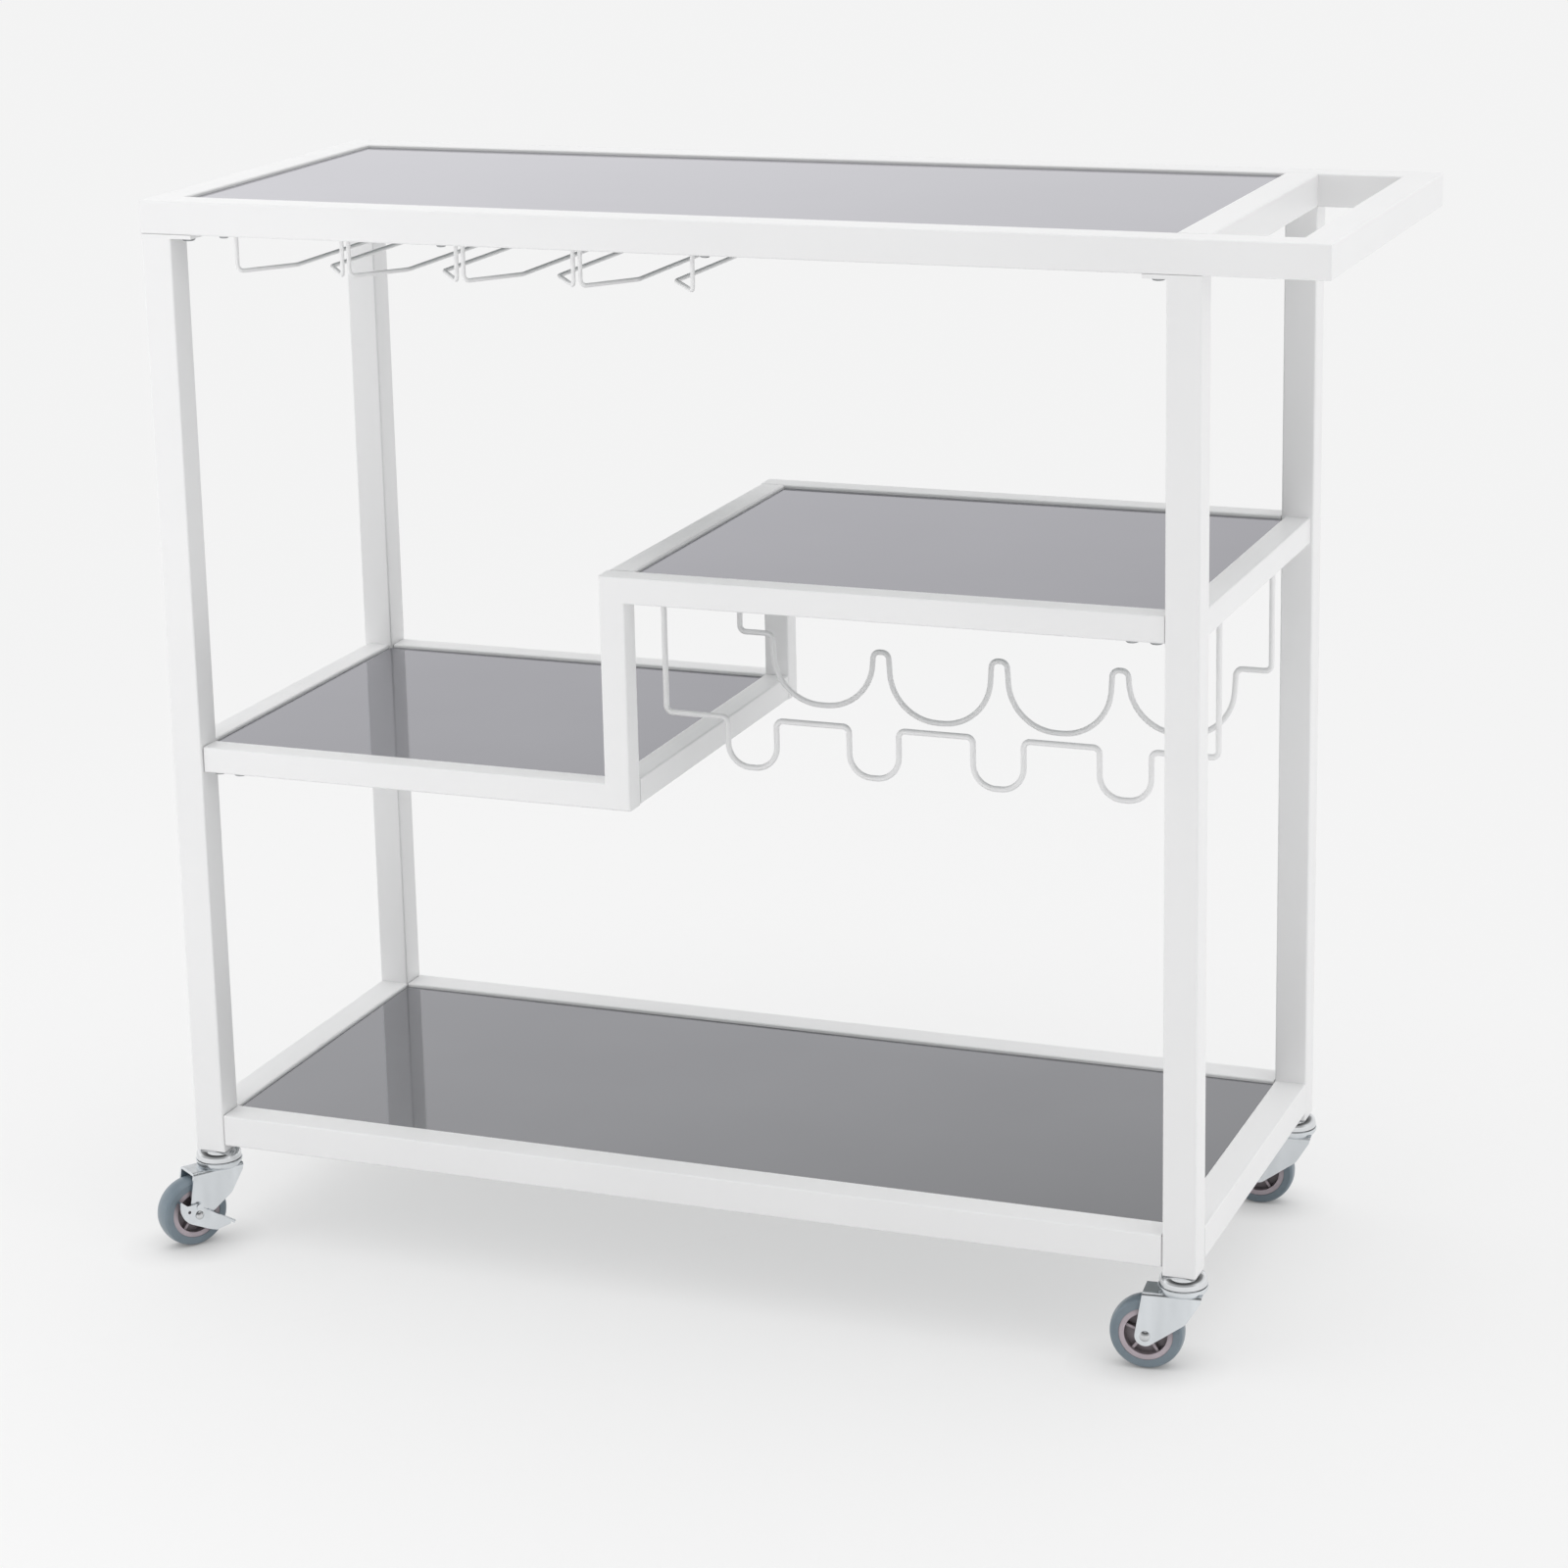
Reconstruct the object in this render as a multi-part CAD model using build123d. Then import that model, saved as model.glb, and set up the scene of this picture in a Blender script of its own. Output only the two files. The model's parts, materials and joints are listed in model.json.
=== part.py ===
from build123d import *
from math import atan2, degrees, hypot
import os

# Bar cart on swivel casters: a square-tube frame with a handle, four tinted mirror shelves on three levels,
# a bent-wire stemware rack under the top and a bent-wire bottle rack under the high shelf.
# Sizes are in millimetres. X runs towards the handle, Y towards the back and Z up from the floor.
# Pieces are laid out from the outer faces of the front left leg, and are all moved at the end,
# so that the origin is on the floor in the middle of the cart's outline.

# Frame tube
leg_size = 25.0
rail_size = 20.0
tube_wall = 1.2
tube_corner = 1.5

# Frame layout
length_over_legs = 812.0
depth_over_legs = 352.0
top_height = 826.5
handle_reach = 88.5
bottom_shelf_top = 106.5
low_shelf_top = 406.5
high_shelf_top = 564.0
post_place = 360.5

# Knock-down joints: a rail end slips over a channel-shaped tongue and is screwed to it from below
joint_gap = 0.9
tongue_length = 36.0
tongue_clearance = 0.5
tongue_floor = 3.0
tongue_side = 2.0
joint_screw_first = 9.0
joint_screw_last = 9.5
joint_screw_radius = 3.0
joint_screw_head_radius = 5.0
joint_screw_head_height = 2.8
joint_screw_reach = 2.0
joint_screw_socket = 1.8
screw_clearance = 0.1
head_round_share = 0.6

# Plates that close the legs and carry the top frame
plate_thickness = 3.0
plate_overhang = 17.0

# Mirror shelves, on tabs with pads
mirror_thickness = 5.0
mirror_recess = 2.3
mirror_gap = 1.0
tab_length = 24.0
tab_depth = 12.0
tab_thickness = 2.0
pad_length = 12.0
pad_depth = 7.0
pad_thickness = 1.0
long_shelf_tab_count = 3
short_shelf_tab_count = 2

# Stemware rack
stem_channel_count = 4
stem_pitch = 92.5
stem_first_channel = 114.5
stem_mouth_gap = 5.5
stem_slot = 29.0
stem_wire_diameter = 3.2
stem_drop = 26.5
stem_setback = 16.5
stem_funnel_depth = 39.0
stem_foot_bend = 5.0
stem_funnel_bend = 8.0
bar_width = 12.0
bar_thickness = 1.5
bar_end_margin = 17.0
bar_screw_margin = 7.0
bar_middle_screw_place = 185.0
bar_screw_radius = 2.0
bar_screw_head_radius = 3.6
bar_screw_head_height = 2.0
bar_screw_reach = 3.0

# Bottle rack
bottle_count = 4
bottle_end_run = 20.9
bottle_wire_diameter = 4.4
bottle_wire_setback = 100.0
bottle_wire_insert = 9.0
bottle_wire_clearance = 0.15
neck_drop = 107.5
neck_depth = 38.0
neck_width = 39.0
neck_flat = 4.0
cradle_drop = 82.0
cradle_depth = 62.0
end_cradle_rise = 7.0
cradle_spacing = 18.8
peak_dip = 8.5
peak_width = 12.4
peak_flat = 1.4
wire_corner = 5.0

# Caster wheels
wheel_radius = 27.5
tyre_width = 17.0
tyre_depth = 7.5
tyre_shoulder = 2.5
tyre_crown = 1.0
hub_fit = 0.05
hub_rim_set = 0.5
hub_rim = 4.0
hub_web = 4.0
hub_boss_radius = 6.5
hub_rib_count = 5
hub_rib_turn = 15.0
hub_rib_set = 2.0
hub_rib_thickness = 2.0
hub_side_play = 0.4
axle_radius = 3.0
axle_clearance = 0.06
axle_head_radius = 4.0
axle_lever_head_radius = 3.4
axle_head_height = 2.2
axle_head_edge = 0.5

# Caster forks
trail = 26.0
tyre_side_room = 1.5
fork_wall = 2.0
fork_corner = 3.0
fork_head_room = 4.5
fork_tip_radius = 7.6
fork_back_margin = 2.0
fork_nose_reach = 15.5
fork_nose_set = 1.5
fork_nose_drop = 5.5
fork_heel_place = -5.2
fork_heel_drop = 14.0
fork_heel_radius = 12.0
race_radius = 18.3
race_round = 6.0
race_edge_round = 0.8
race_height = 5.0

# Caster swivels
kingpin_radius = 5.0
kingpin_clearance = 0.06
kingpin_chamfer = 1.0
kingpin_head_radius = 8.0
kingpin_head_height = 2.5
kingpin_play = 0.3
ball_count = 10
ball_radius = 2.2
ball_ring_radius = 11.5
ball_fork_gap = 0.3
ball_cap_gap = 0.1
cap_radius = 17.6
cap_gap = 0.4
cap_skirt = 2.5
cap_height = 8.9
cap_top_radius = 12.0
cap_bulge = 1.5
cap_race_play = 0.8
stem_thread_length = 28.0
insert_length = 32.0
insert_clearance = 0.1

# Brake levers, with places from the axle: along the lever, and up
lever_thickness = 1.6
lever_gap = 0.3
lever_heel = (-6.3, -6.6)
lever_belly = (-15.3, 4.0)
horn_tip = (-15.3, 14.2)
horn_root = (-9.9, 9.5)
lever_crest = (-1.0, 9.5)
lever_shoulder = (4.4, 4.6)
lever_bend_place = 8.0
lever_bend_top = 2.4
lever_bend_bottom = -13.6
lever_boss_place = (0.5, 6.6)
lever_boss_rim = 3.4
lever_boss_radius = 2.7
lever_boss_height = 0.9
lever_hole_place = (-8.5, 4.2)
lever_hole_radius = 1.3
stop_tab_length = 6.8
stop_tab_depth = 3.2
pedal_bend = 32.0
pedal_length = 16.7
pedal_tip_top = -6.0
pedal_tip_width = 3.5
pedal_knee_reach = 5.6
pedal_knee_drop = 0.9
pedal_lip_start = 13.6
pedal_lip_overhang = 4.0
pedal_lip_depth = 3.2

# How each caster stands at rest: its turn about the stem, and whether it has a brake
caster_turns = {"front_left": 55.0, "front_right": 6.0, "rear_left": -55.0, "rear_right": 6.0}
braked_casters = ("front_left", "rear_left")

# Places that follow from the sizes above
top_length = length_over_legs + handle_reach
top_underside = top_height - leg_size
right_leg = length_over_legs - leg_size
rear_leg = depth_over_legs - leg_size
leg_top = top_underside - plate_thickness
rail_inset = (leg_size - rail_size) / 2
rail_inside = rail_inset + rail_size
rear_rail = depth_over_legs - rail_inside
right_side_rail = length_over_legs - rail_inside
post_end = post_place + rail_size
stem_mouth = stem_pitch - stem_mouth_gap
hub_radius = wheel_radius - tyre_depth
hub_recess_radius = hub_radius - hub_rim
hub_rim_width = tyre_width - 2 * hub_rim_set
fork_gap = tyre_width + 2 * tyre_side_room
fork_outer = fork_gap / 2 + fork_wall
fork_top = 2 * wheel_radius + fork_head_room + fork_wall
cap_bottom = fork_top + race_height + cap_gap
caster_height = cap_bottom + cap_height

nodes = {}


def add(name, *solids):
    """Keep a node's finished solids under its name."""
    nodes.setdefault(name, []).extend(solids)


# Tube stock, plates and screws


def square_tube(size, length):
    """Hollow square tube with rounded long edges, standing on the XY plane."""
    bore = size - 2 * tube_wall
    return extrude(RectangleRounded(size, size, tube_corner) - Rectangle(bore, bore), length)


def tube_x(size, start, end, front, top):
    """Tube along X whose front and top faces are given."""
    place = Pos(start, front + size / 2, top - size / 2)
    return place * Rot(0, 90, 0) * square_tube(size, end - start)


def tube_y(size, start, end, left, top):
    """Tube along Y whose left and top faces are given."""
    place = Pos(left + size / 2, start, top - size / 2)
    return place * Rot(-90, 0, 0) * square_tube(size, end - start)


def tube_z(size, start, end, left, front):
    """Upright tube whose left and front faces are given."""
    return Pos(left + size / 2, front + size / 2, start) * square_tube(size, end - start)


def block(low, high):
    """Box between two corners."""
    size = [b - a for a, b in zip(low, high)]
    middle = [(a + b) / 2 for a, b in zip(low, high)]
    return Pos(*middle) * Box(*size)


def keep_side(piece, point, direction):
    """What a straight cut through a point leaves of a piece on one side."""
    return split(piece, bisect_by=Plane(origin=point, z_dir=direction), keep=Keep.TOP)


def drilled_below(rail, underside, places, radius):
    """A rail with holes through its bottom wall."""
    for x, y in places:
        rail -= Pos(x, y, underside) * Cylinder(radius, 4 * tube_wall)
    return rail


def screw(x, y, seat, radius, head_radius, head_height, reach):
    """Screw driven upwards, with a rounded head under its seat."""
    head = Pos(x, y, seat - head_height / 2) * Cylinder(head_radius, head_height)
    head = fillet(head.edges().group_by(Axis.Z)[0], head_height * head_round_share)
    return head + Pos(x, y, seat + reach / 2) * Cylinder(radius, reach)


def joint_screw(x, y, seat, reach):
    """Frame screw with a hexagon socket in its head."""
    body = screw(x, y, seat, joint_screw_radius, joint_screw_head_radius, joint_screw_head_height, reach)
    socket = extrude(RegularPolygon(joint_screw_socket, 6), joint_screw_head_height / 2)
    return body - Pos(x, y, seat - joint_screw_head_height) * socket


# Frame


def knock_down_joints():
    """Rail node, middle of the carrying face, direction into the rail and rail size of each joint."""
    front = rail_inset + rail_size / 2
    rear = rear_rail + rail_size / 2
    post = post_place + rail_size / 2
    joints = []
    for node, y in (("bottom_front_rail", leg_size / 2), ("bottom_rear_rail", rear_leg + leg_size / 2)):
        z = bottom_shelf_top - leg_size / 2
        joints.append((node, (leg_size, y, z), (1, 0), leg_size))
        joints.append((node, (right_leg, y, z), (-1, 0), leg_size))
    for side, y in (("front", front), ("rear", rear)):
        low = (leg_size, y, low_shelf_top - rail_size / 2)
        high = (right_leg, y, high_shelf_top - rail_size / 2)
        joints.append((f"step_{side}_low_rail", low, (1, 0), rail_size))
        joints.append((f"step_{side}_high_rail", high, (-1, 0), rail_size))
    for level, top in (("low", low_shelf_top), ("high", high_shelf_top)):
        z = top - rail_size / 2
        joints.append((f"step_{level}_cross_rail", (post, rail_inside, z), (0, 1), rail_size))
        joints.append((f"step_{level}_cross_rail", (post, rear_rail, z), (0, -1), rail_size))
    return joints


def joint_screw_places(face, direction):
    """Where a joint's two screws stand, seen from below."""
    runs = (joint_screw_first, tongue_length - joint_screw_last)
    return [(face[0] + direction[0] * run, face[1] + direction[1] * run) for run in runs]


def tongue(face, direction, size):
    """Channel welded to a leg or post, open upwards, that fills a rail end."""
    width = size - 2 * tube_wall - 2 * tongue_clearance
    channel = Box(tongue_length, width, width)
    channel -= Pos(0, 0, tongue_floor) * Box(tongue_length, width - 2 * tongue_side, width)
    turn = 90 if direction[0] == 0 else 0
    run = tongue_length / 2
    place = Pos(face[0] + direction[0] * run, face[1] + direction[1] * run, face[2])
    channel = place * Rot(0, 0, turn) * channel
    hole = Cylinder(joint_screw_radius + screw_clearance, 3 * tongue_floor)
    for x, y in joint_screw_places(face, direction):
        channel -= Pos(x, y, face[2] - width / 2) * hole
    return channel


def screwed_rail(node, rail):
    """A rail with the screw holes of the joints that it takes part in."""
    for name, face, direction, size in knock_down_joints():
        if name == node:
            places = joint_screw_places(face, direction)
            rail = drilled_below(rail, face[2] - size / 2, places, joint_screw_radius + screw_clearance)
    return rail


def make_joints():
    """Tongues and screws of all knock-down joints."""
    reach = tube_wall + tongue_clearance + tongue_floor + joint_screw_reach
    for _, face, direction, size in knock_down_joints():
        add("rail_tongues", tongue(face, direction, size))
        for x, y in joint_screw_places(face, direction):
            add("joint_screws", joint_screw(x, y, face[2] - size / 2, reach))


def make_top_frame():
    """Mitred top frame, which runs on past the right legs and ends in the handle."""
    end = top_length
    back = depth_over_legs
    front = tube_x(leg_size, 0, end, 0, top_height)
    front = keep_side(keep_side(front, (0, 0, 0), (1, -1, 0)), (end, 0, 0), (-1, -1, 0))
    rear = tube_x(leg_size, 0, end, rear_leg, top_height)
    rear = keep_side(keep_side(rear, (0, back, 0), (1, 1, 0)), (end, back, 0), (-1, 1, 0))
    left = tube_y(leg_size, 0, back, 0, top_height)
    left = keep_side(keep_side(left, (0, 0, 0), (-1, 1, 0)), (0, back, 0), (-1, -1, 0))
    handle = tube_y(leg_size, 0, back, end - leg_size, top_height)
    handle = keep_side(keep_side(handle, (end, 0, 0), (1, 1, 0)), (end, back, 0), (1, -1, 0))
    add("top_front_rail", drilled_top_rail(front, leg_size / 2, stem_setback))
    add("top_rear_rail", drilled_top_rail(rear, rear_leg + leg_size / 2, back - stem_setback))
    add("top_left_rail", left)
    add("handle_rail", handle)
    add("top_cross_rail", tube_y(leg_size, leg_size, rear_leg, right_leg, top_height))


def drilled_top_rail(rail, leg_line, bar_line):
    """A long rail of the top frame with the holes for the leg plates' and the stemware bar's screws."""
    plate_holes = [(x, leg_line) for x in plate_screw_xs()]
    bar_holes = [(x, bar_line) for x in bar_screw_xs()]
    rail = drilled_below(rail, top_underside, plate_holes, joint_screw_radius + screw_clearance)
    return drilled_below(rail, top_underside, bar_holes, bar_screw_radius + screw_clearance)


def plate_screw_xs():
    """Where the leg plates are screwed to the top frame."""
    run = leg_size + plate_overhang / 2
    return run, length_over_legs - run


def make_side_frames():
    """Legs with their top plates, and the side rails welded between them."""
    plate_length = leg_size + plate_overhang
    plate_starts = (0, length_over_legs - plate_length)
    hole = Cylinder(joint_screw_radius + screw_clearance, 3 * plate_thickness)
    reach = plate_thickness + tube_wall + joint_screw_reach
    for side, front in (("front", 0), ("rear", rear_leg)):
        y = front + leg_size / 2
        add(f"leg_{side}_left", tube_z(leg_size, caster_height, leg_top, 0, front))
        add(f"leg_{side}_right", tube_z(leg_size, caster_height, leg_top, right_leg, front))
        for start, x in zip(plate_starts, plate_screw_xs()):
            plate = block((start, front, leg_top), (start + plate_length, front + leg_size, top_underside))
            add("leg_plates", plate - Pos(x, y, leg_top) * hole)
            add("joint_screws", joint_screw(x, y, leg_top, reach))
    add("left_side_mid_rail", tube_y(rail_size, leg_size, rear_leg, rail_inset, low_shelf_top))
    add("left_side_low_rail", tube_y(leg_size, leg_size, rear_leg, 0, bottom_shelf_top))
    right_rail = tube_y(rail_size, leg_size, rear_leg, right_side_rail, high_shelf_top)
    add("right_side_mid_rail", with_wire_holes(right_rail, right_side_rail + rail_size / 2))
    add("right_side_low_rail", tube_y(leg_size, leg_size, rear_leg, right_leg, bottom_shelf_top))


def make_bottom_rails():
    """Front and rear rails of the bottom shelf, between the legs."""
    start = leg_size + joint_gap
    end = right_leg - joint_gap
    for node, front in (("bottom_front_rail", 0), ("bottom_rear_rail", rear_leg)):
        add(node, screwed_rail(node, tube_x(leg_size, start, end, front, bottom_shelf_top)))


def make_step_frames():
    """Front and rear stepped frames, mitred at both ends of the post, and the cross rails between them."""
    low_under = low_shelf_top - rail_size
    for side, front in (("front", rail_inset), ("rear", rear_rail)):
        foot = (post_end, front, low_under)
        head = (post_place, front, high_shelf_top)
        low = tube_x(rail_size, leg_size + joint_gap, post_end, front, low_shelf_top)
        high = tube_x(rail_size, post_place, right_leg - joint_gap, front, high_shelf_top)
        post = tube_z(rail_size, low_under, high_shelf_top, post_place, front)
        low_node = f"step_{side}_low_rail"
        high_node = f"step_{side}_high_rail"
        add(low_node, screwed_rail(low_node, keep_side(low, foot, (-1, 0, -1))))
        add(f"step_{side}_post", keep_side(keep_side(post, foot, (1, 0, 1)), head, (-1, 0, -1)))
        add(high_node, screwed_rail(high_node, keep_side(high, head, (1, 0, 1))))
    start = rail_inside + joint_gap
    end = rear_rail - joint_gap
    low_cross = tube_y(rail_size, start, end, post_place, low_shelf_top)
    high_cross = tube_y(rail_size, start, end, post_place, high_shelf_top)
    high_cross = with_wire_holes(high_cross, post_place + rail_size / 2)
    add("step_low_cross_rail", screwed_rail("step_low_cross_rail", low_cross))
    add("step_high_cross_rail", screwed_rail("step_high_cross_rail", high_cross))


# Mirror shelves


def make_mirror(node, left, right, front, rear, frame_top, tabs, clip_left=0, clip_right=0):
    """Mirror let into a frame opening, with clipped corners beside legs, on tabs with pads."""
    under = frame_top - mirror_recess - mirror_thickness
    outline = Rectangle(right - left - 2 * mirror_gap, rear - front - 2 * mirror_gap)
    for group, clip in ((0, clip_left), (-1, clip_right)):
        if clip > 0:
            outline = chamfer(outline.vertices().group_by(Axis.X)[group], clip)
    middle = Pos((left + right) / 2, (front + rear) / 2, under)
    add(node, middle * extrude(outline, mirror_thickness))
    step = (right - left) / tabs
    along = [left + step * (index + 0.5) for index in range(tabs)]
    seats = [(x, front, 90) for x in along] + [(x, rear, -90) for x in along]
    seats += [(left, (front + rear) / 2, 0), (right, (front + rear) / 2, 180)]
    for x, y, turn in seats:
        seat = Pos(x, y, under - pad_thickness) * Rot(0, 0, turn)
        add("mirror_tabs", seat * block((0, -tab_length / 2, -tab_thickness), (tab_depth, tab_length / 2, 0)))
        add("mirror_pads", seat * block((tab_depth - pad_depth, -pad_length / 2, 0),
                                        (tab_depth, pad_length / 2, pad_thickness)))


def make_mirrors():
    """The four shelves."""
    clip = 2 * (leg_size - rail_inside)
    for node, frame_top in (("top_mirror", top_height), ("bottom_mirror", bottom_shelf_top)):
        make_mirror(node, leg_size, right_leg, leg_size, rear_leg, frame_top, long_shelf_tab_count)
    make_mirror("low_mirror", rail_inside, post_place, rail_inside, rear_rail, low_shelf_top,
                short_shelf_tab_count, clip_left=clip)
    make_mirror("high_mirror", post_end, right_side_rail, rail_inside, rear_rail, high_shelf_top,
                short_shelf_tab_count, clip_right=clip)


# Wire racks


def bent_wire(points, bends, diameter):
    """Round wire along straight runs joined by arcs."""
    path = FilletPolyline(*points, radius=bends)
    section = Plane(origin=path @ 0, z_dir=path % 0) * Circle(diameter / 2)
    return sweep(section, path=path)


def stem_centres():
    """Middle of each stemware channel."""
    return [stem_first_channel + stem_pitch * index for index in range(stem_channel_count)]


def bar_ends():
    """Left and right ends of the stemware rack's bars."""
    centres = stem_centres()
    return centres[0] - stem_mouth / 2 - bar_end_margin, centres[-1] + stem_mouth / 2 + bar_end_margin


def bar_screw_xs():
    """Where the stemware rack's bars are screwed to the top frame."""
    low, high = bar_ends()
    return low + bar_screw_margin, low + bar_middle_screw_place, high - bar_screw_margin


def make_stemware_rack():
    """Bars under the top rails, and the channels' wires: funnel mouth in front, straight slot behind."""
    low, high = bar_ends()
    seat = top_underside - bar_thickness
    level = seat - stem_drop
    front = stem_setback
    rear = depth_over_legs - stem_setback
    hole = Cylinder(bar_screw_radius + screw_clearance, 3 * bar_thickness)
    reach = bar_thickness + tube_wall + bar_screw_reach
    for middle in (front, rear):
        bar = block((low, middle - bar_width / 2, seat), (high, middle + bar_width / 2, top_underside))
        for x in bar_screw_xs():
            bar -= Pos(x, middle, seat) * hole
            add("rack_screws", screw(x, middle, seat, bar_screw_radius, bar_screw_head_radius,
                                     bar_screw_head_height, reach))
        add("stemware_bars", bar)
    for centre in stem_centres():
        for side in (-1, 1):
            mouth = centre + side * stem_mouth / 2
            slot = centre + side * stem_slot / 2
            points = [(mouth, front, seat), (mouth, front, level), (slot, front + stem_funnel_depth, level),
                      (slot, rear, level), (slot, rear, seat)]
            bends = [stem_foot_bend, stem_funnel_bend, stem_foot_bend]
            add("stemware_wires", bent_wire(points, bends, stem_wire_diameter))


def bottle_wire_rows():
    """Distance from the front of the neck wire and of the cradle wire."""
    return bottle_wire_setback, depth_over_legs - bottle_wire_setback


def with_wire_holes(rail, x):
    """A rail of the high shelf with the holes that hold the bottle wires' ends."""
    places = [(x, y) for y in bottle_wire_rows()]
    radius = bottle_wire_diameter / 2 + bottle_wire_clearance
    return drilled_below(rail, high_shelf_top - rail_size, places, radius)


def make_bottle_rack():
    """Neck wire with a loop for each bottle, and behind it the cradle wire with a scallop for each."""
    left = post_place + rail_size / 2
    right = right_side_rail + rail_size / 2
    pitch = (right - left - 2 * bottle_end_run) / bottle_count
    first = left + bottle_end_run + pitch / 2
    centres = [first + pitch * index for index in range(bottle_count)]
    neck_row, cradle_row = bottle_wire_rows()
    loops = neck_loops(centres)
    scallops = cradle_scallops(centres, pitch)
    add("bottle_neck_wire", hung_wire(left, right, neck_row, neck_drop, *loops))
    add("bottle_cradle_wire", hung_wire(left, right, cradle_row, cradle_drop, *scallops))


def hung_wire(left, right, row, drop, points, bends):
    """Wire whose ends go up into the high shelf's rails; its points are given from its own flat level."""
    under = high_shelf_top - rail_size
    flat = under - drop
    ends = [(left, row, under + bottle_wire_insert), (left, row, flat)]
    others = [(right, row, flat), (right, row, under + bottle_wire_insert)]
    run = [(x, row, flat + z) for x, z in points]
    return bent_wire(ends + run + others, [wire_corner, *bends, wire_corner], bottle_wire_diameter)


def neck_loops(centres):
    """Points and bends of the round-bottomed loops for the bottle necks."""
    half = neck_width / 2
    bend = half - neck_flat / 2
    points = []
    for x in centres:
        points += [(x - half, 0), (x - half, -neck_depth), (x + half, -neck_depth), (x + half, 0)]
    return points, [wire_corner, bend, bend, wire_corner] * len(centres)


def cradle_scallops(centres, pitch):
    """Points and bends of the bottles' scallops, shallower at both ends, with narrow peaks between them."""
    half = (pitch - cradle_spacing) / 2
    mouth = (pitch - peak_width) / 2
    peak_bend = (peak_width - peak_flat) / 2
    points = []
    for x in centres:
        enters = 0 if x == centres[0] else -peak_dip
        leaves = 0 if x == centres[-1] else -peak_dip
        bottom = -cradle_depth
        if x in (centres[0], centres[-1]):
            bottom += end_cradle_rise
        points += [(x - mouth, enters), (x - half, bottom), (x + half, bottom), (x + mouth, leaves)]
    return points, [peak_bend, half, half, peak_bend] * len(centres)


# Casters, modelled about the stem with the wheel trailing towards -X, then turned and moved to a leg


def turned(profile):
    """Solid of revolution about Z from a closed profile of radius and height."""
    return revolve(Plane.XZ * make_face(profile), axis=Axis.Z)


def on_axle(solid):
    """Lay a solid that was made about Z along the wheel axle, with its top towards the front."""
    return Pos(-trail, 0, wheel_radius) * Rot(90, 0, 0) * solid


def make_hub():
    """Moulded hub: rim, thin web with ribs on both sides, and a boss that runs on the axle."""
    recess = Cylinder(hub_recess_radius, hub_rim_width)
    hub = Cylinder(hub_radius, hub_rim_width) - recess
    hub += Cylinder(hub_recess_radius, hub_web)
    rib = Box(hub_recess_radius + hub_rim / 2, hub_rib_thickness, hub_rim_width - 2 * hub_rib_set,
              align=(Align.MIN, Align.CENTER, Align.CENTER))
    hub += [Rot(0, 0, hub_rib_turn + 360 / hub_rib_count * index) * rib for index in range(hub_rib_count)]
    hub += Cylinder(hub_boss_radius, fork_gap - 2 * hub_side_play)
    hub -= Cylinder(axle_radius + axle_clearance, fork_gap)
    return on_axle(hub)


def make_tyre():
    """Solid tyre with flat sides, bevelled shoulders and a crowned tread."""
    half = tyre_width / 2
    inner = hub_radius + hub_fit
    shoulder = wheel_radius - tyre_shoulder
    edge = wheel_radius - tyre_crown
    tread = half - (tyre_shoulder - tyre_crown)
    sides = Polyline((edge, -tread), (shoulder, -half), (inner, -half), (inner, half), (shoulder, half),
                     (edge, tread))
    return on_axle(turned(sides + SagittaArc((edge, tread), (edge, -tread), tyre_crown)))


def make_fork():
    """Pressed fork: two tapering cheeks under a flat bridge, and the bowl of the swivel race on top."""
    back = trail + fork_back_margin
    span = 2 * (back + fork_nose_reach)
    height = fork_top - wheel_radius + fork_tip_radius
    shell = Pos(0, 0, fork_top - height / 2) * Box(span, 2 * fork_outer, height)
    shell = fillet(shell.edges().filter_by(Axis.X).group_by(Axis.Z)[-1], fork_corner)
    room = Pos(0, 0, fork_top - fork_wall - height / 2) * Box(span, fork_gap, height)
    nose = fork_nose_reach - fork_nose_set
    edge = Polyline((-back, fork_top), (fork_nose_reach, fork_top), (nose, fork_top - fork_nose_drop))
    heel = Pos(fork_heel_place, fork_top - fork_heel_drop) * Circle(fork_heel_radius)
    tip = Pos(-trail, wheel_radius) * Circle(fork_tip_radius)
    outline = Plane.XZ * make_hull([*edge.edges(), *heel.edges(), *tip.edges()])
    fork = (shell - room) & extrude(outline, fork_outer, both=True)
    fork += turned(race_profile())
    fork -= Pos(0, 0, fork_top) * Cylinder(kingpin_radius + kingpin_clearance, 4 * fork_wall)
    fork -= on_axle(Cylinder(axle_radius + axle_clearance, 4 * fork_outer))
    return fork


def race_profile():
    """Section of the fork's race: a flat floor that turns up into a rim, like a bowl."""
    floor = fork_top - fork_wall
    rim = fork_top + race_height
    hole = kingpin_radius + kingpin_clearance
    inside = race_radius - fork_wall
    corners = [(hole, fork_top), (hole, floor), (race_radius, floor), (race_radius, rim), (inside, rim),
               (inside, fork_top)]
    rounds = [0, 0, race_round, race_edge_round, 0, race_round - fork_wall]
    return FilletPolyline(*corners, radius=rounds, close=True)


def make_cap():
    """Domed cap over the race, with the upper ball track below."""
    track = fork_top + ball_fork_gap + 2 * ball_radius + ball_cap_gap
    boss = race_radius - fork_wall - cap_race_play
    start = (cap_radius, cap_bottom + cap_skirt)
    end = (cap_top_radius, caster_height)
    below = Polyline((kingpin_radius, caster_height), (kingpin_radius, track), (boss, track),
                     (boss, cap_bottom), (cap_radius, cap_bottom), start)
    dome = SagittaArc(start, end, -cap_bulge)
    return turned(below + dome + Line(end, (kingpin_radius, caster_height)))


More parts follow.
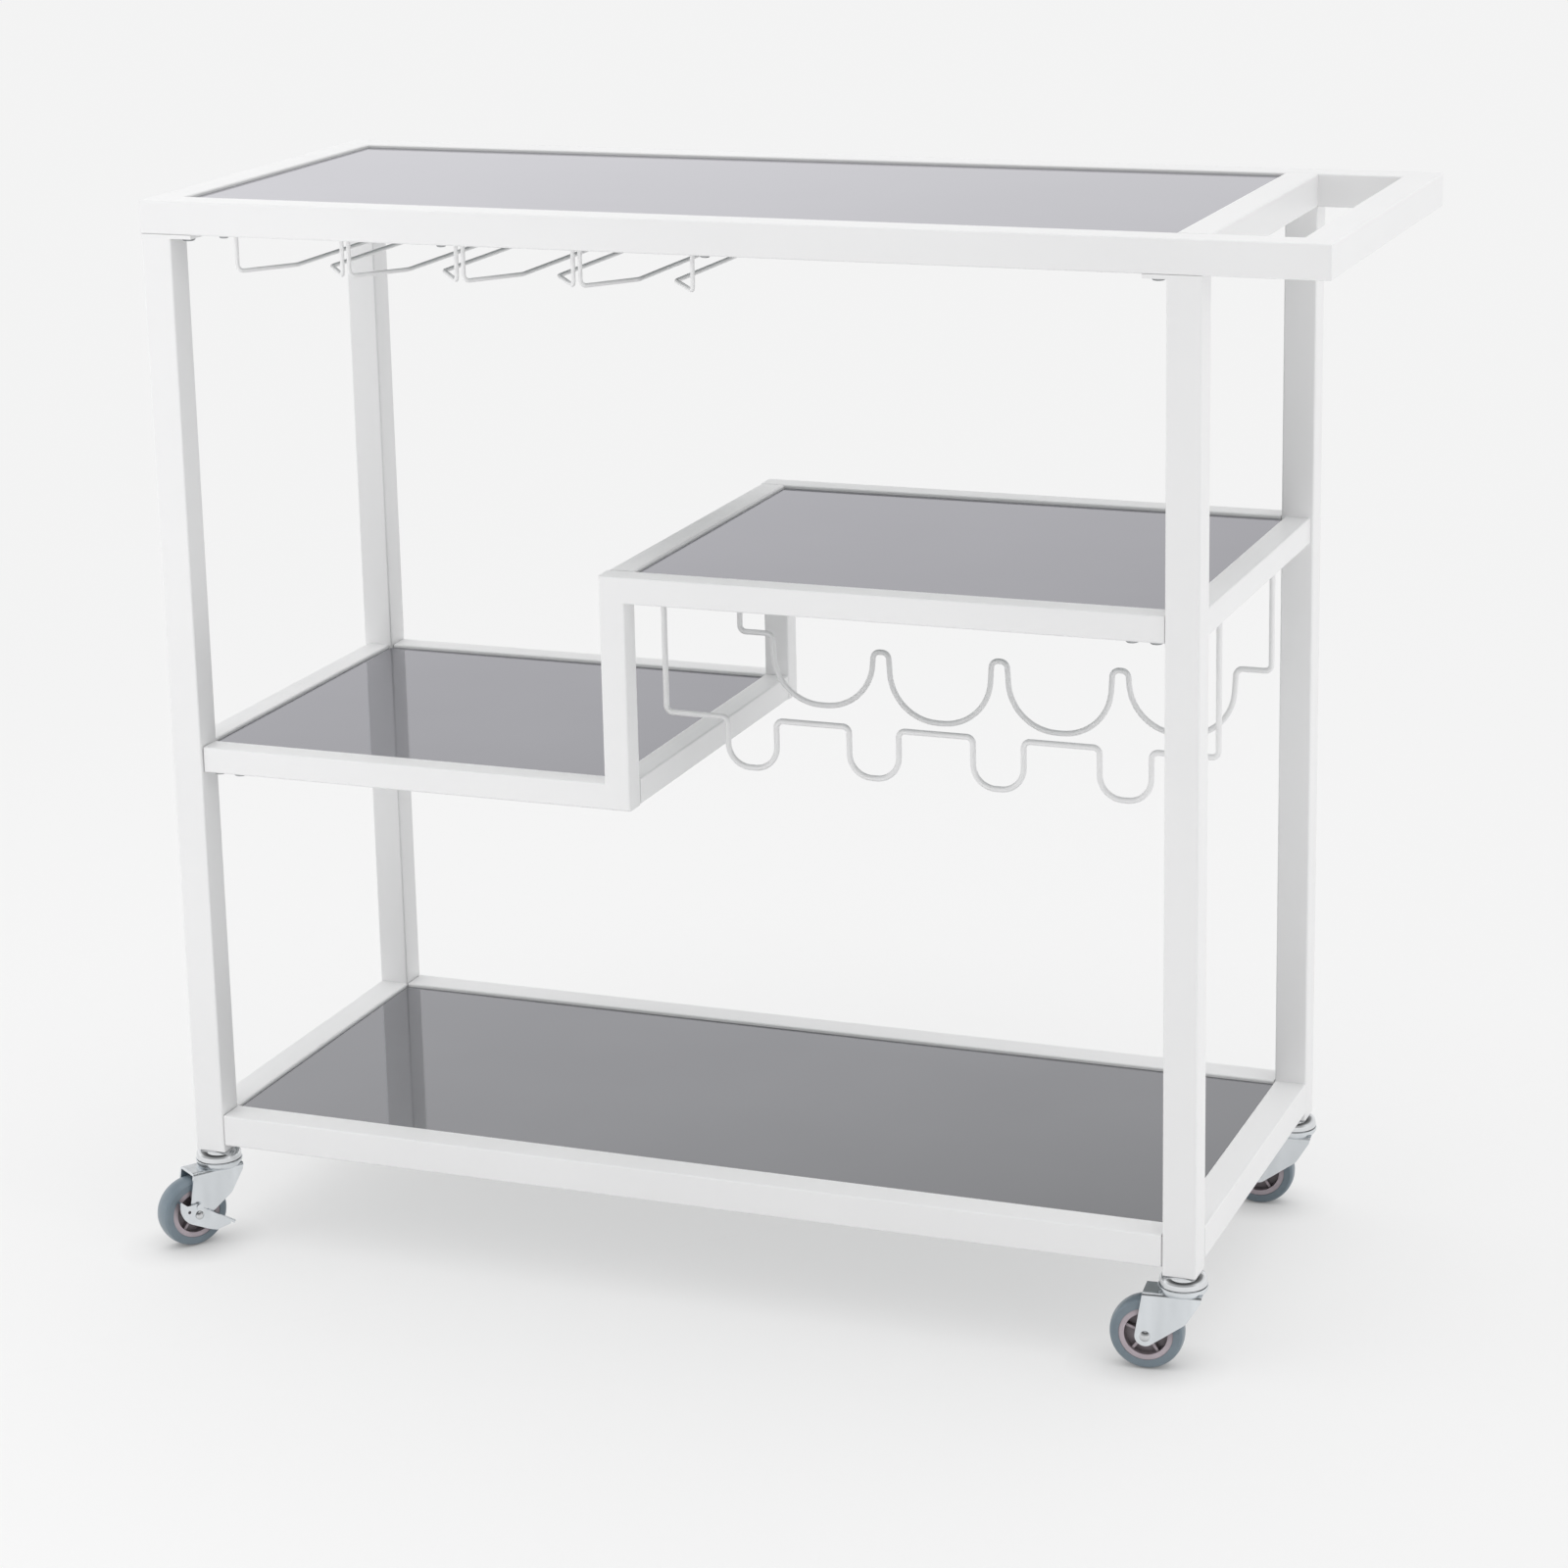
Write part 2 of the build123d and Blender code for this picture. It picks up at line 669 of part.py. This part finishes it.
def make_stem():
    """Kingpin with its riveted head below the fork and its threaded end above the cap."""
    head_top = fork_top - fork_wall - kingpin_play
    bottom = head_top - kingpin_head_height
    top = caster_height + stem_thread_length
    head = Pos(0, 0, head_top - kingpin_head_height / 2) * Cylinder(kingpin_head_radius, kingpin_head_height)
    head = fillet(head.edges().group_by(Axis.Z)[0], kingpin_head_height * head_round_share)
    pin = Pos(0, 0, (bottom + top) / 2) * Cylinder(kingpin_radius, top - bottom)
    pin = chamfer(pin.edges().group_by(Axis.Z)[-1], kingpin_chamfer)
    return head + pin


def make_balls():
    """Ring of bearing balls between fork and cap."""
    ball = Pos(ball_ring_radius, 0, fork_top + ball_fork_gap + ball_radius) * Sphere(ball_radius)
    return [Rot(0, 0, 360 / ball_count * index) * ball for index in range(ball_count)]


def make_insert():
    """Plug in the leg end with the hole that takes the stem."""
    width = leg_size - 2 * tube_wall - 2 * insert_clearance
    plug = Box(width, width, insert_length) - Cylinder(kingpin_radius + insert_clearance, insert_length)
    return Pos(0, 0, caster_height + insert_length / 2) * plug


def rivet_head(radius):
    """Domed rivet head on the XY plane."""
    crown = axle_head_height - axle_head_edge
    dome = (radius ** 2 + crown ** 2) / (2 * crown)
    disc = Pos(0, 0, axle_head_height / 2) * Cylinder(radius, axle_head_height)
    return disc & Pos(0, 0, axle_head_height - dome) * Sphere(dome)


def make_axle(front_end, front_head_radius):
    """Rivet through fork and wheel; its front head lies on the fork, or on the lever where there is one."""
    span = front_end + fork_outer
    axle = Pos(0, 0, front_end - span / 2) * Cylinder(axle_radius, span)
    axle += Pos(0, 0, front_end) * rivet_head(front_head_radius)
    axle += Pos(0, 0, -fork_outer) * Rot(180, 0, 0) * rivet_head(axle_head_radius)
    return on_axle(axle)


def make_lever():
    """Pressed brake lever on the axle: a plate with a horn, a stop tab on it and a bent-out pedal."""
    plate = lever_plate() + stop_tab()
    bend = Pos(lever_bend_place, 0, lever_thickness)
    lever = plate + bend * (Rot(0, -pedal_bend, 0) * pedal() + knuckle())
    lever -= Cylinder(axle_radius + axle_clearance, 4 * lever_thickness)
    return on_axle(Pos(0, 0, fork_outer + lever_gap) * lever)


def lever_plate():
    """Flat part of the lever, with a raised boss above the axle and a hole beside it."""
    back = ThreePointArc(lever_heel, lever_belly, horn_tip)
    edge = Polyline(horn_tip, horn_root, lever_crest, lever_shoulder, (lever_bend_place, lever_bend_top),
                    (lever_bend_place, lever_bend_bottom), lever_heel)
    outline = make_face(back + edge) + Pos(*lever_boss_place) * Circle(lever_boss_rim)
    outline -= Pos(*lever_hole_place) * Circle(lever_hole_radius)
    boss = Pos(*lever_boss_place) * Circle(lever_boss_radius)
    return extrude(outline, lever_thickness) + extrude(boss, lever_thickness + lever_boss_height)


def stop_tab():
    """Tab along the top of the horn, bent in to meet the edge of the fork past the lever's travel."""
    slope = degrees(atan2(horn_tip[1] - horn_root[1], horn_tip[0] - horn_root[0]))
    tab = block((0, 0, -stop_tab_depth), (stop_tab_length, lever_thickness, lever_thickness))
    return Pos(*horn_root) * Rot(0, 0, slope) * tab


def pedal():
    """Tapering foot pedal, laid out from the bend, with a lip along its upper edge."""
    corners = Polyline((0, lever_bend_top), (pedal_length, pedal_tip_top),
                       (pedal_length, pedal_tip_top - pedal_tip_width),
                       (pedal_knee_reach, lever_bend_bottom - pedal_knee_drop),
                       (0, lever_bend_bottom), close=True)
    drop = lever_bend_top - pedal_tip_top
    lip = block((pedal_lip_start, -lever_thickness, -pedal_lip_depth),
                (hypot(pedal_length, drop) + pedal_lip_overhang, 0, 0))
    lip = Pos(0, lever_bend_top) * Rot(0, 0, -degrees(atan2(drop, pedal_length))) * lip
    return extrude(make_face(corners), -lever_thickness) + lip


def knuckle():
    """Round of sheet metal at the pedal's bend."""
    height = lever_bend_top - lever_bend_bottom
    middle = Pos(0, (lever_bend_top + lever_bend_bottom) / 2, 0)
    corner = block((0, -height / 2, -lever_thickness), (lever_thickness, height / 2, 0))
    return middle * (corner & Rot(90, 0, 0) * Cylinder(lever_thickness, height))


def make_casters():
    """A caster under each leg, turned as it stands at rest."""
    lever_end = fork_outer + lever_gap + lever_thickness + lever_gap
    for corner, turn in caster_turns.items():
        x = leg_size / 2 if corner.endswith("left") else right_leg + leg_size / 2
        y = leg_size / 2 if corner.startswith("front") else rear_leg + leg_size / 2
        place = Pos(x, y, 0)
        swivel = place * Rot(0, 0, turn)
        braked = corner in braked_casters
        add("leg_inserts", place * make_insert())
        add("caster_stems", place * make_stem())
        add("caster_caps", place * make_cap())
        add("caster_balls", *[place * ball for ball in make_balls()])
        add(f"fork_{corner}", swivel * make_fork())
        if braked:
            axle = make_axle(lever_end, axle_lever_head_radius)
        else:
            axle = make_axle(fork_outer, axle_head_radius)
        add(f"axle_{corner}", swivel * axle)
        add(f"hub_{corner}", swivel * make_hub())
        add(f"tyre_{corner}", swivel * make_tyre())
        if braked:
            add(f"brake_lever_{corner}", swivel * make_lever())


def write_parts():
    """Move everything so that the origin is in the middle of the outline, and write a file for each node."""
    boxes = [solid.bounding_box() for solids in nodes.values() for solid in solids]
    x = (min(box.min.X for box in boxes) + max(box.max.X for box in boxes)) / 2
    y = (min(box.min.Y for box in boxes) + max(box.max.Y for box in boxes)) / 2
    print(f"front left leg corner at {-x:.4f}, {-y:.4f}")
    os.makedirs("parts", exist_ok=True)
    for name, solids in nodes.items():
        moved = [Pos(-x, -y, 0) * solid for solid in solids]
        export_step(Compound(children=moved), f"parts/{name}.step")


make_top_frame()
make_side_frames()
make_bottom_rails()
make_step_frames()
make_joints()
make_mirrors()
make_stemware_rack()
make_bottle_rack()
make_casters()
write_parts()
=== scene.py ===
import json
from math import radians

import bpy
from mathutils import Matrix, Vector

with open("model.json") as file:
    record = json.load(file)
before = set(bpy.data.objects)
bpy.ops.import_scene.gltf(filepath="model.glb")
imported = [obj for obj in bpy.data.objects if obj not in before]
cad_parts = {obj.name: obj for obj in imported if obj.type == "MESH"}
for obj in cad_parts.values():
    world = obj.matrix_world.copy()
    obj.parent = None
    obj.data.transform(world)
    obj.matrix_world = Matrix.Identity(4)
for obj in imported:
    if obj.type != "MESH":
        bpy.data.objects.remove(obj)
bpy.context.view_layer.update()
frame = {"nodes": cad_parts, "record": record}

# Bar cart of white tube with tinted mirror shelves, in a pale studio.
# Sizes are in metres, angles in degrees and lamp powers in watts.
# Levels are shares of white, and noise scales count per metre.

# Camera
camera_place = (1.0709, -2.7536, 1.2396)
camera_turn = 21.28
camera_drop = 14.71
camera_roll = -1.2
camera_lens = 91.7
camera_shift = -0.08

# World: levels along the height, from left to right and from front to back
backdrop_level = 0.9
ambient_depths = ((0.0, 0.40), (0.35, 0.76), (1.0, 0.94))
dome_heights = ((0.0, 1.05), (0.14, 1.035), (0.23, 0.92), (0.36, 0.87),
                (0.46, 0.35), (0.7, 0.12), (1.0, 0.08))
dome_sides = ((0.25, 1.03), (0.40, 0.88))
dome_depths = ((0.0, 0.5), (0.22, 0.55), (0.42, 1.0))

# Lamps: each softbox has its place, size and power
overhead_level = 0.84
overhead_spread = 70
softbox_aim = (0.0, 0.0, 0.40)
softboxes = {
    "left_softbox": ((-1.2, -1.4, 1.1), 1.6, 8.1),
    "right_softbox": ((2.4, -0.6, 1.1), 1.8, 5.5),
}

# Floor
floor_radius = 60.0
floor_colour = (0.86, 0.86, 0.86)
shadow_share = 0.38
shadow_reach = (1.2, 2.6)
# Painted contact shadow: the floor's glowing backdrop tone darkens near parts that come close to it
painted_contact_shadow_reach = 0.04
painted_contact_shadow_level = 0.2

# White coat
coat_tones = ((0.850, 0.850, 0.854), (0.878, 0.878, 0.881))
coat_roughness = (0.29, 0.33)
coat_tone_scale = 5.0
coat_sheen_scale = 60.0
peel_scale = 400.0

# Mirror: silvered where it faces up, with a tint that it keeps at low angles
mirror_tones = ((0.278, 0.283, 0.287), (0.302, 0.308, 0.312))
mirror_low_angle_tint = (0.965, 0.955, 1.0)
mirror_edge_tone = (0.30, 0.33, 0.33)
mirror_roughness = (0.03, 0.07)
mirror_tone_scale = 4.0
dust_scale = 240.0
silver_slopes = (0.85, 0.95)

# Plated metals: tones and roughness of each
metals = {
    "zinc_screw": (((0.38, 0.39, 0.40), (0.48, 0.49, 0.50)), (0.29, 0.40)),
    "chromed_cap": (((0.72, 0.735, 0.75), (0.80, 0.815, 0.83)), (0.05, 0.12)),
    "zinc_fork": (((0.69, 0.72, 0.745), (0.79, 0.82, 0.845)), (0.16, 0.24)),
    "axle_steel": (((0.62, 0.63, 0.64), (0.74, 0.75, 0.76)), (0.12, 0.24)),
}
streak_scale = 60.0
streak_stretch = (1.0, 1.0, 0.25)
metal_sheen_scale = 160.0

# Tyre rubber
rubber_tones = ((0.176, 0.222, 0.260), (0.204, 0.252, 0.290))
rubber_roughness = (0.29, 0.36)
rubber_tone_scale = 70.0
rubber_sheen_scale = 160.0
rubber_grain_scale = 1500.0

# Moulded plastics: tones, roughness and the level of the shade painted into the hollows of each
plastics = {
    "clear_pad": (((0.62, 0.62, 0.62), (0.70, 0.70, 0.70)), (0.3, 0.45), 1.0),
    "plug_plastic": (((0.74, 0.74, 0.74), (0.80, 0.80, 0.80)), (0.4, 0.5), 1.0),
    "hub_plastic": (((0.465, 0.402, 0.436), (0.525, 0.454, 0.492)), (0.30, 0.42), 0.45),
}
plastic_tone_scale = 90.0
plastic_sheen_scale = 200.0
plastic_grain_scale = 1200.0
# Reach and range of the shade painted into hollows, found by ambient occlusion
painted_shade_reach = 0.012
painted_shade_range = (0.35, 0.85)

# Relief: strength and depth of the bump
smooth_relief = (0.02, 0.0004)
grained_relief = (0.05, 0.0003)

# Where most of a noise lies
noise_range = (0.3, 0.7)


# Node helpers


class Shader:
    """The node tree of a material or world, with short calls for the nodes used here."""

    def __init__(self, owner):
        owner.use_nodes = True
        self.tree = owner.node_tree
        self.tree.nodes.clear()

    def node(self, kind, **inputs):
        """A node whose inputs are set to values or linked to other nodes' outputs."""
        node = self.tree.nodes.new(kind)
        for name, value in inputs.items():
            self.feed(node.inputs[name.replace("_", " ")], value)
        return node

    def feed(self, socket, value):
        """Link an output to an input, or set the input's own value."""
        if isinstance(value, bpy.types.NodeSocket):
            self.tree.links.new(value, socket)
        else:
            socket.default_value = value

    def coordinates(self, kind):
        """Texture coordinates of one kind."""
        return self.node("ShaderNodeTexCoord").outputs[kind]

    def noise(self, scale, detail=3.0, roughness=0.5, stretch=(1.0, 1.0, 1.0)):
        """Noise over the object's own coordinates."""
        mapping = self.node("ShaderNodeMapping", Vector=self.coordinates("Object"), Scale=stretch)
        texture = self.node("ShaderNodeTexNoise", Vector=mapping.outputs["Vector"], Scale=scale,
                            Detail=detail, Roughness=roughness)
        return texture.outputs["Fac"]

    def ramp(self, factor, stops):
        """Colours along a factor, from places and colours."""
        node = self.node("ShaderNodeValToRGB", Fac=factor)
        elements = node.color_ramp.elements
        while len(elements) < len(stops):
            elements.new(0.5)
        for element, (position, colour) in zip(elements, stops):
            element.position = position
            element.color = (*colour, 1.0)
        return node.outputs["Color"]

    def grey_ramp(self, factor, levels):
        """Greys along a factor, from places and levels."""
        return self.ramp(factor, [(place, (level,) * 3) for place, level in levels])

    def tones(self, factor, colours):
        """A noise turned into colours between two tones."""
        return self.ramp(factor, tuple(zip(noise_range, colours)))

    def remap(self, value, old_range, new_range=(0.0, 1.0)):
        """A value carried from one range to another."""
        return self.node("ShaderNodeMapRange", Value=value, From_Min=old_range[0], From_Max=old_range[1],
                         To_Min=new_range[0], To_Max=new_range[1])

    def spread(self, factor, new_range):
        """A noise carried to a range of values."""
        return self.remap(factor, noise_range, new_range).outputs["Result"]

    def share(self, direction):
        """One axis of a direction as a share from 0 to 1."""
        return self.remap(direction, (-1.0, 1.0)).outputs["Result"]

    def bump(self, height, relief):
        """Surface normal from a height."""
        strength, depth = relief
        return self.node("ShaderNodeBump", Height=height, Strength=strength, Distance=depth).outputs["Normal"]

    def openness(self, reach):
        """How open the surroundings of a point are, up to a reach."""
        return self.node("ShaderNodeAmbientOcclusion", Distance=reach).outputs["AO"]

    def operate(self, kind, operation, *operands):
        """A mathematical operation on values or vectors."""
        node = self.node(kind)
        node.operation = operation
        for socket, operand in zip(node.inputs, operands):
            self.feed(socket, operand)
        return node.outputs["Value"]

    def mix(self, factor, first, second, blend="MIX"):
        """Two colours mixed or blended."""
        node = self.node("ShaderNodeMix")
        node.data_type = "RGBA"
        node.blend_type = blend
        self.feed(node.inputs[0], factor)
        self.feed(node.inputs[6], first)
        self.feed(node.inputs[7], second)
        return node.outputs[2]

    def multiply(self, first, second):
        """Two colours multiplied."""
        return self.mix(1.0, first, second, "MULTIPLY")

    def surface(self, kind="ShaderNodeBsdfPrincipled", output="ShaderNodeOutputMaterial", **inputs):
        """The closing shader."""
        self.node(output, Surface=self.node(kind, **inputs).outputs[0])


def new_material(name):
    """A material and its shader."""
    material = bpy.data.materials.new(name)
    return material, Shader(material)


# Finishes


def powder_coat():
    """Satin white powder coat with a fine orange peel and a faint unevenness of tone."""
    material, shader = new_material("white_powder_coat")
    tone = shader.tones(shader.noise(coat_tone_scale), coat_tones)
    peel = shader.noise(peel_scale, detail=1.0)
    shader.surface(Base_Color=tone, Roughness=shader.spread(shader.noise(coat_sheen_scale), coat_roughness),
                   Normal=shader.bump(peel, smooth_relief))
    return material


def tinted_mirror():
    """Grey tinted mirror: silvered above, polished glass at the edge and painted below."""
    material, shader = new_material("tinted_mirror")
    axes = shader.node("ShaderNodeSeparateXYZ", Vector=shader.coordinates("Normal")).outputs
    silvered = shader.remap(axes["Z"], silver_slopes).outputs["Result"]
    silver = shader.tones(shader.noise(mirror_tone_scale), mirror_tones)
    tone = shader.mix(silvered, (*mirror_edge_tone, 1.0), silver)
    dust = shader.noise(dust_scale, detail=4.0, roughness=0.7)
    shader.surface(Base_Color=tone, Metallic=silvered, Roughness=shader.spread(dust, mirror_roughness),
                   Specular_Tint=(*mirror_low_angle_tint, 1.0))
    return material


def plated(name):
    """Bright plated metal with faint drawn streaks."""
    material, shader = new_material(name)
    colours, roughness = metals[name]
    streaks = shader.noise(streak_scale, detail=2.0, stretch=streak_stretch)
    sheen = shader.noise(metal_sheen_scale, detail=1.0)
    shader.surface(Base_Color=shader.tones(streaks, colours), Metallic=1.0,
                   Roughness=shader.spread(sheen, roughness), Normal=shader.bump(streaks, smooth_relief))
    return material


def rubber():
    """Smooth blue-grey tyre rubber."""
    material, shader = new_material("grey_tyre")
    tone = shader.tones(shader.noise(rubber_tone_scale), rubber_tones)
    grain = shader.noise(rubber_grain_scale, detail=2.0)
    shader.surface(Base_Color=tone, Normal=shader.bump(grain, grained_relief),
                   Roughness=shader.spread(shader.noise(rubber_sheen_scale), rubber_roughness))
    return material


def moulded(name):
    """Moulded plastic with a fine grain, and shade painted into its hollows."""
    material, shader = new_material(name)
    colours, roughness, painted_shade_level = plastics[name]
    tone = shader.tones(shader.noise(plastic_tone_scale), colours)
    # Painted shade: the base colour is darkened where ambient occlusion finds a hollow
    shade = shader.grey_ramp(shader.openness(painted_shade_reach), tuple(zip(painted_shade_range, (painted_shade_level, 1.0))))
    grain = shader.noise(plastic_grain_scale, detail=2.0)
    shader.surface(Base_Color=shader.multiply(tone, shade), Normal=shader.bump(grain, grained_relief),
                   Roughness=shader.spread(shader.noise(plastic_sheen_scale), roughness))
    return material


def dress_nodes():
    """Give every node the finish of its slot."""
    finishes = {"white_powder_coat": powder_coat(), "tinted_mirror": tinted_mirror(), "grey_tyre": rubber()}
    finishes.update({name: plated(name) for name in metals})
    finishes.update({name: moulded(name) for name in plastics})
    for part in frame["record"]["subparts"]:
        piece = frame["nodes"][part["node"]]
        piece.data.materials.clear()
        piece.data.materials.append(finishes[part["material_slot"]])


# Studio


def make_world():
    """Pale backdrop for the camera, and graded domes for reflections and for ambient light."""
    world = bpy.data.worlds.new("studio")
    bpy.context.scene.world = world
    shader = Shader(world)
    path = shader.node("ShaderNodeLightPath").outputs
    axes = shader.node("ShaderNodeSeparateXYZ", Vector=shader.coordinates("Generated")).outputs
    depth = shader.share(axes["Y"])
    dome = shader.multiply(shader.grey_ramp(axes["Z"], dome_heights),
                           shader.grey_ramp(shader.share(axes["X"]), dome_sides))
    dome = shader.multiply(dome, shader.grey_ramp(depth, dome_depths))
    lit = shader.mix(path["Is Glossy Ray"], shader.grey_ramp(depth, ambient_depths), dome)
    seen = shader.mix(path["Is Camera Ray"], lit, (*(backdrop_level,) * 3, 1.0))
    shader.surface("ShaderNodeBackground", "ShaderNodeOutputWorld", Color=seen, Strength=1.0)


def floor_finish():
    """Matt floor round the cart that fades into the backdrop's own tone further out, with a contact shadow
    painted into that tone near the parts.
    """
    material, shader = new_material("floor")
    distance = shader.operate("ShaderNodeVectorMath", "LENGTH", shader.coordinates("Object"))
    share = shader.remap(distance, shadow_reach, (1 - shadow_share, 1.0))
    share.interpolation_type = "SMOOTHSTEP"
    path = shader.node("ShaderNodeLightPath").outputs
    seen = shader.operate("ShaderNodeMath", "MAXIMUM", path["Is Camera Ray"], path["Is Glossy Ray"])
    glow = shader.operate("ShaderNodeMath", "MULTIPLY", share.outputs["Result"], seen)
    # Painted contact shadow: the glowing tone is darkened by ambient occlusion near the wheels and other
    # parts
    levels = ((0.0, backdrop_level * painted_contact_shadow_level), (1.0, backdrop_level))
    tone = shader.grey_ramp(shader.openness(painted_contact_shadow_reach), levels)
    matt = shader.node("ShaderNodeBsdfDiffuse", Color=(*floor_colour, 1.0))
    backdrop = shader.node("ShaderNodeEmission", Color=tone, Strength=1.0)
    mixed = shader.node("ShaderNodeMixShader")
    for socket, value in zip(mixed.inputs, (glow, matt.outputs[0], backdrop.outputs[0])):
        shader.feed(socket, value)
    shader.node("ShaderNodeOutputMaterial", Surface=mixed.outputs[0])
    return material


def make_floor():
    """Plain pale floor."""
    mesh = bpy.data.meshes.new("floor")
    half = floor_radius
    corners = [(-half, -half, 0), (half, -half, 0), (half, half, 0), (-half, half, 0)]
    mesh.from_pydata(corners, [], [(0, 1, 2, 3)])
    floor = bpy.data.objects.new("floor", mesh)
    bpy.context.collection.objects.link(floor)
    mesh.materials.append(floor_finish())


def make_lights():
    """A broad lamp overhead, and a softbox on each side of the camera that the mirrors don't show."""
    overhead = bpy.data.lights.new("overhead", "SUN")
    overhead.angle = radians(overhead_spread)
    overhead.energy = overhead_level
    bpy.context.collection.objects.link(bpy.data.objects.new("overhead", overhead))
    for name, (place, size, power) in softboxes.items():
        lamp = bpy.data.lights.new(name, "AREA")
        lamp.size = size
        lamp.energy = power
        softbox = bpy.data.objects.new(name, lamp)
        aim = (Vector(softbox_aim) - Vector(place)).to_track_quat("-Z", "Y").to_matrix().to_4x4()
        softbox.matrix_world = Matrix.Translation(Vector(place)) @ aim
        softbox.visible_glossy = False
        bpy.context.collection.objects.link(softbox)


def make_camera():
    """Camera at the photograph's angle."""
    camera = bpy.data.cameras.new("camera")
    camera.lens = camera_lens
    camera.shift_y = camera_shift
    camera_object = bpy.data.objects.new("camera", camera)
    turn = Matrix.Rotation(radians(camera_turn), 4, "Z")
    tilt = Matrix.Rotation(radians(90 - camera_drop), 4, "X")
    roll = Matrix.Rotation(radians(camera_roll), 4, "Z")
    camera_object.matrix_world = Matrix.Translation(Vector(camera_place)) @ turn @ tilt @ roll
    bpy.context.collection.objects.link(camera_object)
    bpy.context.scene.camera = camera_object


dress_nodes()
make_world()
make_floor()
make_lights()
make_camera()
bpy.context.scene.view_settings.view_transform = "Standard"
